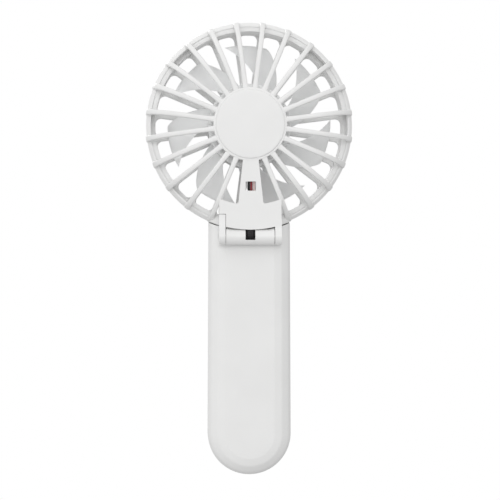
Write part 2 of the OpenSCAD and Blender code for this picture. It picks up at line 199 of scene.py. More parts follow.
@dataclass(frozen=True)
class Banded:
    """A surface with close parallel bands, such as wound wire or stacked plates.

    Args:
        name: the material's name
        dark: colour between the bands
        light: colour on the bands
        band_mm: width of one band
        direction: axis that the bands follow one another along, X, Y or Z
        metallic: metallic weight
        rough: roughness
    """

    name: str
    dark: tuple[float, float, float]
    light: tuple[float, float, float]
    band_mm: float
    direction: str = "Y"
    metallic: float = 0.0
    rough: float = 0.35

    def build(self) -> bpy.types.Material:
        """Return the finished material."""
        mat, nodes, links, shader, coords = new_material(self.name)
        shader.inputs["Metallic"].default_value = self.metallic
        wave = nodes.new("ShaderNodeTexWave")
        wave.bands_direction = self.direction
        wave.inputs["Scale"].default_value = 0.314 / (self.band_mm * MM)
        wave.inputs["Distortion"].default_value = 0.4
        links.new(coords, wave.inputs["Vector"])
        links.new(ramp(nodes, links, wave.outputs["Fac"], self.dark, self.light), shader.inputs["Base Color"])
        smear = noise(nodes, links, coords, scale=300.0, detail=2.0)
        links.new(remap(nodes, links, smear, self.rough - 0.06, self.rough + 0.08), shader.inputs["Roughness"])
        bump(nodes, links, wave.outputs["Fac"], shader, strength=0.5, distance=self.band_mm * 0.3 * MM)
        return mat


@dataclass(frozen=True)
class Woven:
    """Woven sleeve: bold strands along it, crossed by finer ones, on the piece's own UV map.

    Args:
        name: the material's name
        color: colour of the strands
        around: strands round the sleeve
        along: cross strands per unit of the UV map along it
    """

    name: str
    color: tuple[float, float, float]
    around: float = 36.0
    along: float = 20.0

    def build(self) -> bpy.types.Material:
        """Return the finished material."""
        mat, nodes, links, shader, _ = new_material(self.name)
        uv = nodes.new("ShaderNodeUVMap")
        uv.uv_map = "along_and_round"
        waves = []
        for direction, count in (("X", self.around), ("Y", self.along)):
            wave = nodes.new("ShaderNodeTexWave")
            wave.bands_direction = direction
            wave.inputs["Scale"].default_value = count * 0.314
            wave.inputs["Distortion"].default_value = 0.6
            links.new(uv.outputs["UV"], wave.inputs["Vector"])
            waves.append(wave.outputs["Fac"])
        weave = nodes.new("ShaderNodeMix")
        weave.inputs[0].default_value = 0.25
        links.new(waves[0], weave.inputs[2])
        links.new(waves[1], weave.inputs[3])
        dark = tuple(c * 0.25 for c in self.color)
        links.new(ramp(nodes, links, weave.outputs[0], dark, self.color), shader.inputs["Base Color"])
        links.new(remap(nodes, links, weave.outputs[0], 0.75, 0.45), shader.inputs["Roughness"])
        bump(nodes, links, weave.outputs[0], shader, strength=0.7, distance=0.1 * MM)
        return mat


def new_material(name: str) -> tuple:
    """Start a node material.

    Args:
        name: the material's name

    Returns:
        the material, its nodes, its links, its Principled shader and an Object coordinate output
    """
    mat = bpy.data.materials.new(name)
    mat.use_nodes = True
    nodes, links = mat.node_tree.nodes, mat.node_tree.links
    shader = nodes["Principled BSDF"]
    coords = nodes.new("ShaderNodeTexCoord").outputs["Object"]
    return mat, nodes, links, shader, coords


def noise(nodes, links, vector, scale: float, detail: float) -> bpy.types.NodeSocket:
    """Add a noise texture on the given vector and return its value."""
    tex = nodes.new("ShaderNodeTexNoise")
    tex.inputs["Scale"].default_value = scale
    tex.inputs["Detail"].default_value = detail
    links.new(vector, tex.inputs["Vector"])
    return tex.outputs["Fac"]


def ramp(nodes, links, value, low: tuple, high: tuple) -> bpy.types.NodeSocket:
    """Map a value from 0.3..0.7 to a colour between low and high and return the colour."""
    tex = nodes.new("ShaderNodeValToRGB")
    tex.color_ramp.elements[0].position = 0.3
    tex.color_ramp.elements[1].position = 0.7
    tex.color_ramp.elements[0].color = (*low, 1.0)
    tex.color_ramp.elements[1].color = (*high, 1.0)
    links.new(value, tex.inputs["Fac"])
    return tex.outputs["Color"]


def remap(nodes, links, value, low: float, high: float) -> bpy.types.NodeSocket:
    """Map a value from 0..1 to low..high and return it."""
    tex = nodes.new("ShaderNodeMapRange")
    tex.inputs["To Min"].default_value = low
    tex.inputs["To Max"].default_value = high
    links.new(value, tex.inputs["Value"])
    return tex.outputs["Result"]


def bump(nodes, links, height, shader, strength: float, distance: float) -> None:
    """Feed a height into the shader's normal through a bump node."""
    tex = nodes.new("ShaderNodeBump")
    tex.inputs["Strength"].default_value = strength
    tex.inputs["Distance"].default_value = distance
    links.new(height, tex.inputs["Height"])
    links.new(tex.outputs["Normal"], shader.inputs["Normal"])


@dataclass(frozen=True)
class Finishes:
    """Every finish of the fan, each named for the record's material slot that it stands for."""

    shell_white: Moulded = Moulded("white_shell_plastic", (0.80, 0.80, 0.795), rough=0.4)
    # painted light: the blades' base colour is set lighter than the shell's white to make up for the shade they sit in
    # inside the head
    blade_white: Moulded = Moulded("blade_plastic", (0.87, 0.875, 0.875), rough=0.38, glow=0.6)
    button_white: Moulded = Moulded("button_plastic", (0.82, 0.82, 0.81), rough=0.22, grain_depth=0.02)
    lead_black: Moulded = Moulded("black_wire_jacket", (0.004, 0.004, 0.005), rough=0.75, grain_mm=0.2)
    lead_red: Moulded = Moulded("red_wire_jacket", (0.22, 0.012, 0.02), rough=0.35, grain_mm=0.2)
    lead_white: Moulded = Moulded("white_wire_jacket", (0.66, 0.52, 0.50), rough=0.35, grain_mm=0.2)
    sleeve_black: Woven = Woven("black_woven_sleeve", (0.035, 0.033, 0.036))
    steel: Metal = Metal("turned_steel", (0.62, 0.62, 0.63))
    brass: Metal = Metal("turned_brass", (0.78, 0.58, 0.27), rough=0.25)
    copper_wire: Banded = Banded("wound_copper", (0.22, 0.07, 0.02), (0.72, 0.30, 0.12), 0.45, "Y", 1.0, 0.3)
    magnet: Moulded = Moulded("bonded_magnet", (0.045, 0.045, 0.05), rough=0.5, grain_mm=0.15, grain_depth=0.2)
    board_green: Banded = Banded("solder_mask", (0.012, 0.09, 0.04), (0.02, 0.15, 0.07), 1.4, "X", 0.0, 0.3)
    cell_wrap: Moulded = Moulded("cell_film", (0.16, 0.24, 0.42), rough=0.25, grain_mm=0.8, grain_depth=0.15)
    foam: Moulded = Moulded("closed_cell_foam", (0.03, 0.03, 0.03), rough=0.9, grain_mm=0.4, grain_depth=0.8)
    plug_nylon: Moulded = Moulded("nylon_plug", (0.70, 0.66, 0.52), rough=0.45)
    switch_black: Moulded = Moulded("switch_plastic", (0.02, 0.02, 0.02), rough=0.4)
    light_clear: Moulded = Moulded("milky_lens", (0.78, 0.80, 0.80), rough=0.15, grain_depth=0.0, glow=0.4)

    def all_built(self) -> dict[str, bpy.types.Material]:
        """Return one material per slot name."""
        return {slot: getattr(self, slot).build() for slot in self.__dataclass_fields__}


# ---------------------------------------------------------------- mesh helpers


def grid_quads(rows: int, cols: int, wrap_rows: bool = False, wrap_cols: bool = False) -> np.ndarray:
    """Corner numbers of a grid's quads.

    Cell (i, j) joins points (i, j), (i + 1, j), (i + 1, j + 1) and (i, j + 1), numbered i * cols + j;
    a wrapped direction joins its last line back to its first.

    Args:
        rows: number of grid rows
        cols: number of grid columns
        wrap_rows: whether the last row joins the first
        wrap_cols: whether the last column joins the first

    Returns:
        an array of shape (quads, 4)
    """
    i = np.arange(rows if wrap_rows else rows - 1)[:, None]
    j = np.arange(cols if wrap_cols else cols - 1)[None, :]
    i2, j2 = (i + 1) % rows, (j + 1) % cols
    corners = np.broadcast_arrays(i * cols + j, i2 * cols + j, i2 * cols + j2, i * cols + j2)
    return np.stack(corners, axis=-1).reshape(-1, 4)


def copied_faces(one: np.ndarray, copies: int, size: int) -> list:
    """Faces of several copies of a piece that has size points, from the faces of one."""
    return (one[None] + (np.arange(copies) * size)[:, None, None]).reshape(-1, 4).tolist()


def fan_turns(count: int) -> np.ndarray:
    """Angles in radians of count pieces spread evenly round the fan axis, shaped (count, 1, 1)."""
    return np.radians(np.arange(count) * 360 / count)[:, None, None]


def solid(name: str, points: np.ndarray, faces: list, sharp_deg: float = 38.0,
          uv: np.ndarray | None = None) -> bpy.types.Object:
    """Make a closed, smooth-shaded object from points in millimetres.

    Points that fall together are merged, faces are turned outwards, and edges that bend by more than
    sharp_deg stay sharp.

    Args:
        name: the object's name
        points: array of shape (n, 3), in millimetres
        faces: lists of corner numbers
        sharp_deg: bend above which an edge is sharp
        uv: texture place of each point, shape (n, 2), or None

    Returns:
        the object, at the origin, linked to the scene
    """
    mesh = bpy.data.meshes.new(name)
    mesh.from_pydata((points * MM).tolist(), [], [list(map(int, f)) for f in faces])
    if uv is not None:
        layer = mesh.uv_layers.new(name="along_and_round")
        corner = np.empty(len(mesh.loops), dtype=np.int32)
        mesh.loops.foreach_get("vertex_index", corner)
        layer.data.foreach_set("uv", uv[corner].astype(np.float32).ravel())
    bm = bmesh.new()
    bm.from_mesh(mesh)
    bmesh.ops.remove_doubles(bm, verts=bm.verts, dist=2e-6)
    bmesh.ops.dissolve_degenerate(bm, edges=bm.edges, dist=1e-7)
    bmesh.ops.recalc_face_normals(bm, faces=bm.faces)
    bm.to_mesh(mesh)
    bm.free()
    obj = bpy.data.objects.new(name, mesh)
    bpy.context.collection.objects.link(obj)
    shade(obj, sharp_deg)
    return obj


def shade(obj: bpy.types.Object, sharp_deg: float) -> None:
    """Smooth the object's shading, with edges that bend by more than sharp_deg left sharp."""
    mesh = obj.data
    mesh.polygons.foreach_set("use_smooth", np.ones(len(mesh.polygons), dtype=bool))
    mesh.set_sharp_from_angle(angle=math.radians(sharp_deg))


def soften(obj: bpy.types.Object, width: float, limit_deg: float = 45.0, segments: int = 3) -> None:
    """Round the object's edges that bend by more than limit_deg with a bevel of the given width in mm."""
    bevel = obj.modifiers.new("edge_rounding", "BEVEL")
    bevel.width = width * MM
    bevel.segments = segments
    bevel.limit_method = "ANGLE"
    bevel.angle_limit = math.radians(limit_deg)
    bevel.harden_normals = True
    bevel.use_clamp_overlap = True


def combine(obj: bpy.types.Object, operation: str, *others: bpy.types.Object, sharp_deg: float = 38.0) -> None:
    """Cut the other objects out of this one, or join them to it, and delete them.

    Args:
        obj: the object that is kept
        operation: "DIFFERENCE" or "UNION"
        others: the objects that are used up
        sharp_deg: bend above which an edge of the result is sharp
    """
    for other in others:
        step = obj.modifiers.new("combine", "BOOLEAN")
        step.operation = operation
        step.solver = "EXACT"
        step.object = other
    graph = bpy.context.evaluated_depsgraph_get()
    mesh = bpy.data.meshes.new_from_object(obj.evaluated_get(graph))
    obj.modifiers.clear()
    old = obj.data
    obj.data = mesh
    bpy.data.meshes.remove(old)
    for other in others:
        used = other.data
        bpy.data.objects.remove(other)
        bpy.data.meshes.remove(used)
    shade(obj, sharp_deg)


def rounded(corners: list, radii: list, steps: int = 5, closed: bool = True) -> np.ndarray:
    """Polyline whose corners are replaced by arcs.

    The arc of radius r at a corner touches both edges at r / tan(half the corner's angle) from the corner,
    and its centre lies on the corner's bisector at r / sin(half the angle). A radius of 0 keeps the corner.

    Args:
        corners: list of (x, y)
        radii: one radius per corner
        steps: spans in each arc
        closed: whether the last corner joins the first

    Returns:
        array of shape (n, 2)
    """
    pts = np.asarray(corners, float)
    out = []
    count = len(pts)
    for k, r in enumerate(radii):
        here = pts[k]
        if r <= 0 or (not closed and k in (0, count - 1)):
            out.append(here[None, :])
            continue
        to_prev = pts[k - 1] - here
        to_next = pts[(k + 1) % count] - here
        to_prev /= np.linalg.norm(to_prev)
        to_next /= np.linalg.norm(to_next)
        half = 0.5 * math.acos(float(np.clip(to_prev @ to_next, -1, 1)))
        bisector = to_prev + to_next
        bisector /= np.linalg.norm(bisector)
        centre = here + bisector * r / math.sin(half)
        start = here + to_prev * r / math.tan(half) - centre
        end = here + to_next * r / math.tan(half) - centre
        sweep = math.atan2(start[0] * end[1] - start[1] * end[0], float(start @ end))
        t = np.linspace(0, sweep, steps + 1)
        turned = np.stack([start[0] * np.cos(t) - start[1] * np.sin(t),
                           start[0] * np.sin(t) + start[1] * np.cos(t)], axis=1)
        out.append(centre + turned)
    return np.concatenate(out)


def revolve(name: str, profile: np.ndarray, axis_z: float, segments: int = 144, closed: bool = True,
            arc: tuple[float, float] | None = None) -> bpy.types.Object:
    """Turn a profile of (radius, y) points about the fan axis.

    A point at angle a lies at x = radius * sin(a), z = axis height + radius * cos(a).

    Args:
        name: the object's name
        profile: array of (radius, y); a closed loop, or a line that starts and ends on the axis
        axis_z: height of the axis
        segments: spans round the full turn
        closed: whether the profile is a loop
        arc: first and last angle in degrees of a part turn, or None for a full turn

    Returns:
        the object
    """
    full = arc is None
    a = np.linspace(0, 2 * np.pi, segments, endpoint=False) if full else np.radians(
        np.linspace(arc[0], arc[1], max(3, int(segments * abs(arc[1] - arc[0]) / 360))))
    radius, y = profile[None, :, 0], profile[None, :, 1]
    points = np.stack([radius * np.sin(a)[:, None], np.broadcast_to(y, (len(a), len(profile))),
                       axis_z + radius * np.cos(a)[:, None]], axis=-1).reshape(-1, 3)
    faces = grid_quads(len(a), len(profile), wrap_rows=full, wrap_cols=closed).tolist()
    if not full:
        k = len(profile)
        faces += [list(range(k)), list(range((len(a) - 1) * k, len(a) * k))]
    return solid(name, points, faces)


def plate(name: str, outline: np.ndarray, low: float, high: float, axis: str = "Y") -> bpy.types.Object:
    """Carry a flat outline straight from low to high along an axis, as a closed solid.

    The outline's two numbers are x and z for axis Y, and y and z for axis X.

    Args:
        name: the object's name
        outline: array of shape (n, 2)
        low: start along the axis
        high: end along the axis
        axis: "Y" or "X"

    Returns:
        the object
    """
    n = len(outline)
    along = np.repeat([low, high], n)
    first, second = np.tile(outline[:, 0], 2), np.tile(outline[:, 1], 2)
    points = np.stack([first, along, second] if axis == "Y" else [along, first, second], axis=1)
    faces = grid_quads(2, n, wrap_cols=True).tolist() + [list(range(n)), list(range(n, 2 * n))]
    return solid(name, points, faces)


def tube(name: str, path: np.ndarray, radius: np.ndarray | float, around: int = 24, ridges: int = 0,
         ridge_depth: float = 0.0, flat: float = 1.0) -> bpy.types.Object:
    """Sweep a round section along a path in a plane of constant x.

    At each station the section lies across the path's direction: its first axis is X and its second is the
    direction turned a quarter in the YZ plane. Ridges swell the radius by ridge_depth * cos(ridges * angle).

    Args:
        name: the object's name
        path: array of shape (n, 3)
        radius: section radius, one or one per station
        around: points round the section
        ridges: number of lengthwise ridges
        ridge_depth: height of a ridge
        flat: how much wider than deep the section is

    Returns:
        the object, with a UV map of turns round it and millimetres along it
    """
    step = np.gradient(path, axis=0)
    step /= np.linalg.norm(step, axis=1, keepdims=True)
    across = np.tile([1.0, 0.0, 0.0], (len(path), 1))
    across -= step * np.sum(across * step, axis=1, keepdims=True)
    across /= np.linalg.norm(across, axis=1, keepdims=True)
    other = np.cross(step, across)
    a = np.linspace(0, 2 * np.pi, around + 1)
    r = np.broadcast_to(np.asarray(radius, float), (len(path),))[:, None] + ridge_depth * np.cos(ridges * a)[None, :]
    points = (path[:, None, :] + (flat * r * np.cos(a))[..., None] * across[:, None, :]
              + (r * np.sin(a))[..., None] * other[:, None, :]).reshape(-1, 3)
    length = np.concatenate([[0], np.cumsum(np.linalg.norm(np.diff(path, axis=0), axis=1))])
    uv = np.stack(np.broadcast_arrays(a[None, :] / (2 * np.pi), length[:, None] / 12.0), axis=-1).reshape(-1, 2)
    k = around + 1
    faces = grid_quads(len(path), k).tolist()
    faces += [list(range(around)), list(range((len(path) - 1) * k, len(path) * k - 1))]
    return solid(name, points, faces, uv=uv)


def curve_through(points: list, per_span: int = 6) -> np.ndarray:
    """Catmull-Rom curve through the given points: each span is the cubic set by its four nearest points."""
    p = np.asarray(points, float)
    p = np.vstack([2 * p[0] - p[1], p, 2 * p[-1] - p[-2]])
    t = np.linspace(0, 1, per_span, endpoint=False)[None, :, None]
    a, b, c, d = p[:-3, None], p[1:-2, None], p[2:-1, None], p[3:, None]
    spans = 0.5 * (2 * b + (c - a) * t + (2 * a - 5 * b + 4 * c - d) * t**2 + (3 * b - a - 3 * c + d) * t**3)
    return np.vstack([spans.reshape(-1, 3), p[-2]])


def ring_points(radius: float, start_deg: float, end_deg: float, count: int, centre_z: float) -> list:
    """Points (x, z) on an arc about the fan axis, with angles measured from straight down towards +X."""
    a = np.radians(np.linspace(start_deg, end_deg, count))
    return list(zip(radius * np.sin(a), centre_z - radius * np.cos(a)))


# ---------------------------------------------------------------- the frame's sizes


@dataclass
class Layout:
    """Places that every sub-assembly shares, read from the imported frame, in millimetres."""

    fan_z: float = 0.0
    hinge_y: float = 0.0
    hinge_z: float = 0.0
    back_y: float = 0.0
    front_y: float = 0.0
    plateau_y: float = 0.0
    low_z: float = 0.0
    button_z: float = 0.0

    @classmethod
    def from_frame(cls, frame: dict) -> "Layout":
        """Read the joints' axes and the nodes' boxes.


        Returns:
            the layout
        """
        joints = {j["name"]: j for j in frame["record"]["behaviour"]["joints"]}
        hinge = joints["head_fold"]["pos_m"]
        spin = joints["impeller_spin"]["pos_m"]
        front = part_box("handle_front")
        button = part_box("power_button")
        return cls(fan_z=spin[2] / MM, hinge_y=hinge[1] / MM, hinge_z=hinge[2] / MM, back_y=-front[1][1] / MM,
                   front_y=front[1][1] / MM, plateau_y=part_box("hub_cap")[0][1] / MM + 0.6, low_z=front[0][2] / MM,
                   button_z=(button[0][2] + button[1][2]) / 2 / MM)


@dataclass
class SubAssembly:
    """Base of every sub-assembly: the shared layout, the materials and how a piece is dressed and carried."""

    lay: Layout
    mats: dict[str, bpy.types.Material]

    def dress(self, piece: bpy.types.Object, slot: str, body: Body | None, *nodes: str) -> bpy.types.Object:
        """Give a piece its finish, its body and the CAD nodes that it stands for.

        Args:
            piece: the object
            slot: material slot of the record
            body: body that the piece moves with, or None for a piece that is left on no body
            nodes: CAD nodes that it replaces

        Returns:
            the same object
        """
        piece.data.materials.clear()
        piece.data.materials.append(self.mats[slot])
        if body is not None:
            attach(piece, body.value)
        if nodes:
            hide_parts(*nodes)
        LOG.info("%s rides on %s", piece.name, body.value if body else "two bodies")
        return piece


# ---------------------------------------------------------------- head


@dataclass
class RearGuard(SubAssembly):
    """Hub ring, ribs, rim, cable spoke, neck and hinge ears: the air inlet's side of the head."""

    hub_r: float = 16.4
    cap_r: float = 15.3
    rib_w: float = 2.2
    rib_deep: float = 2.4
    rib_count: int = 24
    dome_r: float = 30.0
    rim_r: float = 46.5
    rim_in: float = 44.4
    rim_y: float = -3.5
    split_y: float = 2.1
    neck_in: float = 36.0
    neck_r: float = 47.0
    neck_half: float = 13.85
    flank_half: float = 18.3
    ear_in: float = 11.0
    ear_out: float = 14.0
    ear_r: float = 3.5
    step: float = 0.03

    def build(self) -> None:
        """Build and dress every piece of the rear guard."""
        self.ribs()
        self.rim()
        self.hub()
        self.spoke_and_neck()
        self.flanks()
        self.ears()

    def ribs(self) -> None:
        """Ribs as rounded bars between an outer and an inner curve.

        Both curves run flat from the hub, bend down a quarter ellipse and then run along the rim's side. The
        section is a superellipse |a|^4 + |b|^4 = 1 stretched between the curves, and it flares at the rim.
        """
        back = self.lay.plateau_y + 0.1
        e = np.radians(np.linspace(0, 90, 17))[1:]
        flat = np.linspace(self.hub_r - 1, self.dome_r, 6)
        side = np.linspace(self.rim_y, self.split_y - 0.3, 4)[1:]
        out_r, in_r = self.rim_r + 0.45, self.rim_in + 0.2
        in_back, in_rim = back + self.rib_deep, self.rim_y - 1.0
        outer = np.concatenate([
            np.stack([flat, np.full(6, back)], 1),
            np.stack([self.dome_r + (out_r - self.dome_r) * np.sin(e),
                      self.rim_y - (self.rim_y - back) * np.cos(e)], 1),
            np.stack([np.full(3, out_r), side], 1)])
        inner = np.concatenate([
            np.stack([flat, np.full(6, in_back)], 1),
            np.stack([self.dome_r + (in_r - self.dome_r) * np.sin(e),
                      in_rim - (in_rim - in_back) * np.cos(e)], 1),
            np.stack([np.full(3, in_r), side], 1)])
        near_rim = np.clip((outer[:, 0] - 43.0) / 3.5, 0, 1)
        near_hub = np.clip((19.5 - outer[:, 0]) / 3.5, 0, 1)
        half_w = self.rib_w / 2 * (1 + 0.28 * near_rim**2 + 0.35 * near_hub**2)
        a = np.linspace(0, 2 * np.pi, 24, endpoint=False)
        square = lambda v: np.sign(v) * np.abs(v) ** 0.5
        mid, reach = (outer + inner) / 2, (outer - inner) / 2
        ry = mid[:, None, :] + reach[:, None, :] * square(np.cos(a))[None, :, None]
        x = half_w[:, None] * square(np.sin(a))[None, :]
        turns = [(i + 0.5) * 360 / self.rib_count for i in range(self.rib_count)]
        turns = np.radians([t for t in turns if abs(t - 180) > 360 / self.rib_count])[:, None, None]
        radius = ry[None, :, :, 0]
        px = radius * np.sin(turns) + x[None] * np.cos(turns)
        pz = self.lay.fan_z + radius * np.cos(turns) - x[None] * np.sin(turns)
        py = np.broadcast_to(ry[None, :, :, 1], px.shape)
        points = np.stack([px, py, pz], axis=-1).reshape(-1, 3)
        rows, cols = x.shape
        one = grid_quads(rows, cols, wrap_cols=True)
        faces = copied_faces(one, len(turns), rows * cols)
        for k in range(len(turns)):
            first = k * rows * cols
            faces += [list(range(first, first + cols)), list(range(first + (rows - 1) * cols, first + rows * cols))]
        self.dress(solid("rear_ribs", points, faces, 60), "shell_white", Body.HEAD, "rear_guard")

    def rim(self) -> None:
        """Rear rim: a rounded band whose back face slopes down to the inlet."""
        profile = rounded([(self.rim_in, -6.2), (45.2, -6.2), (self.rim_r, -4.4), (self.rim_r, self.split_y - 0.12),
                           (self.rim_in, self.split_y - 0.12)], [0.07, 0.6, 1.0, 0.25, 0.1])
        self.dress(revolve("rear_rim", profile, self.lay.fan_z, 192), "shell_white", Body.HEAD, "rear_guard")

    def hub(self) -> None:
        """Hub ring with its motor seat, and the smooth cap that closes it."""
        back = self.lay.plateau_y
        wall = rounded([(self.cap_r + 0.02, back + 0.8), (self.cap_r + 0.02, back), (self.hub_r, back),
                        (self.hub_r, -10.0), (5.0, -10.0), (5.0, -11.4), (self.hub_r - 1.5, -11.4),
                        (self.hub_r - 1.5, back + 0.8)],
                       [0, 0.03, 0.35, 0.3, 0.2, 0.2, 0.3, 0])
        self.dress(revolve("hub_ring", wall, self.lay.fan_z, 144), "shell_white", Body.HEAD, "rear_guard")
        r = np.linspace(0, self.cap_r - 0.35, 14)
        crown = np.stack([r, back - 0.6 + 0.12 * (r / self.cap_r) ** 2], 1)
        edge = rounded([(self.cap_r - 0.35, back - 0.48), (self.cap_r, back - 0.44), (self.cap_r, back + 0.75),
                        (self.cap_r - 0.5, back + 0.75)], [0, 0.3, 0.1, 0], closed=False)
        profile = np.vstack([crown, edge[1:], [(0.0, back + 0.6)]])
        cap = revolve("hub_cap_disc", profile, self.lay.fan_z, 144, closed=False)
        self.dress(cap, "shell_white", Body.HEAD, "hub_cap")

    def spoke_and_neck(self) -> None:
        """Cable spoke, the neck's raised plate and the right hinge ear as one piece.

        The spoke and the plate share one outline. The right ear joins it, and a window, a channel for the leads
        and room for the barrel are cut out.
        """
        z0, back = self.lay.fan_z, self.lay.plateau_y
        edge_deg = math.degrees(math.asin(self.neck_half / self.neck_in))
        low_deg = math.degrees(math.asin((self.ear_in - 0.12) / self.neck_r))
        side_deg = math.degrees(math.asin(self.neck_half / self.neck_r))
        spoke_deg = math.degrees(math.asin(5.75 / self.neck_in))
        ear_top = self.lay.hinge_z + 10.15
        upper_right = ring_points(self.neck_in, spoke_deg + 1.2, edge_deg, 12, z0)
        right_low = ring_points(self.neck_r, side_deg, -low_deg, 40, z0)
        outline = ([(-3.3, z0 - self.hub_r + 0.9), (3.6, z0 - self.hub_r + 0.9), (5.7, z0 - 34.6), (6.05, z0 - 35.2)]
                   + upper_right + right_low
                   + [(-self.ear_in + 0.12, ear_top), (-self.neck_half, ear_top)]
                   + [(-x, z) for x, z in upper_right[::-1]] + [(-5.6, z0 - 35.2), (-5.25, z0 - 34.6)])
        body = plate("cable_spoke_and_neck", np.array(outline), back + self.step, -6.2)
        frame = [(-2.1, z0 - 29.7), (2.45, z0 - 29.7), (2.45, z0 - 25.6), (-2.1, z0 - 25.6)]
        window = plate("window_cut", rounded(frame, [0.35] * 4), back - 1, back + 3)
        channel = plate("channel_cut", np.array([(-1.75, z0 - 13), (2.5, z0 - 13), (4.5, z0 - 35), (8.5, z0 - 38.5),
                                                 (8.5, z0 - 45), (-8.5, z0 - 45), (-8.5, z0 - 38.5), (-1.75, z0 - 30)]),
                        back + 1.0, -5.0)
        exit_hole = plate("sleeve_exit_cut", np.array([(-2.3, self.lay.hinge_z), (2.3, self.lay.hinge_z),
                                                       (2.3, self.lay.hinge_z + 9), (-2.3, self.lay.hinge_z + 9)]),
                          back + 1.0, -11.8)
        trim_box = np.array([(-7, z0 - 10), (7, z0 - 10), (7, z0 - 35.4), (-7, z0 - 35.4)])
        trim = plate("spoke_front_cut", trim_box, back + 4, 0)
        combine(body, "DIFFERENCE", window, channel, exit_hole, self.barrel_room(self.ear_in - 0.1), trim)
        combine(body, "UNION", self.ear("right_ear", 1, 8.0))
        soften(body, 0.4, 50)
        self.dress(body, "shell_white", Body.HEAD, "rear_guard")

    def barrel_room(self, high: float) -> bpy.types.Object:
        """Cutter about the hinge axis that leaves room for the hinge barrel, from far left up to high."""
        a = np.linspace(0, 2 * np.pi, 48, endpoint=False)
        disc = np.stack([self.lay.hinge_y + 3.85 * np.cos(a), self.lay.hinge_z + 3.85 * np.sin(a)], 1)
        return plate("barrel_room_cut", disc, -20, high, "X")

    def flanks(self) -> None:
        """Shoulders on both sides of the neck that carry on the grip's rounded section.

        Each is a closed skin between the arcs of radius 42.8 and 47 about the fan axis: a point (x, y) of the
        grip's section stands at z = fan axis - sqrt(radius^2 - x^2). The first and last arcs are taken in to
        round the edges.
        """
        section = rounded([(10.8, -11.7), (14.0, -11.0), (17.4, -8.2), (self.flank_half, -4.8),
                           (self.flank_half, self.split_y - 0.12), (10.8, self.split_y - 0.12)],
                          [0, 3.0, 4.0, 3.5, 0.2, 0], steps=6)
        centre = section.mean(axis=0)
        bands = [(self.neck_r, 0.45), (self.neck_r, 0.15), (self.neck_r - 0.13, 0.0), (42.93, 0.0), (42.8, 0.15),
                 (42.8, 0.45)]
        for side, name in ((1, "right_shoulder"), (-1, "left_shoulder")):
            rows = []
            for radius, inset in bands:
                away = section - centre
                pts = section - away / np.linalg.norm(away, axis=1, keepdims=True) * inset
                z = self.lay.fan_z - np.sqrt(radius**2 - pts[:, 0] ** 2)
                rows.append(np.stack([side * pts[:, 0], pts[:, 1], z], 1))
            points = np.concatenate(rows)
            n = len(section)
            faces = grid_quads(len(rows), n, wrap_cols=True).tolist()
            faces += [list(range(n)), list(range((len(rows) - 1) * n, len(rows) * n))]
            shoulder = solid(name, points, faces, 50)
            self.dress(shoulder, "shell_white", Body.HEAD, "rear_guard")

    def ear(self, name: str, side: int, top: float) -> bpy.types.Object:
        """A hinge ear: a round foot about the hinge axis under a straight stem.

        Args:
            name: the object's name
            side: 1 for the right, -1 for the left
            top: height of the stem's top above the hinge axis

        Returns:
            the object
        """
        hy, hz, back = self.lay.hinge_y, self.lay.hinge_z, self.lay.plateau_y + self.step
        a = np.radians(np.linspace(180, 360, 25))
        foot = [(hy + self.ear_r * np.cos(t), hz + self.ear_r * np.sin(t)) for t in a]
        stem = [(hy + self.ear_r, hz + 0.8), (hy + 2.4, hz + 2.2), (hy + 2.4, hz + top), (back, hz + top),
                (back, hz + 2.2), (hy - self.ear_r, hz + 0.8)]
        low, high = sorted((side * self.ear_in, side * self.ear_out))
        return plate(name, np.array(foot + stem), low, high, "X")

    def ears(self) -> None:
        """Left hinge ear, a separate piece that caps the pin's side."""
        ear = self.ear("left_hinge_ear", -1, 10.0)
        soften(ear, 0.3, 40)
        self.dress(ear, "shell_white", Body.HEAD, "hinge_ear")


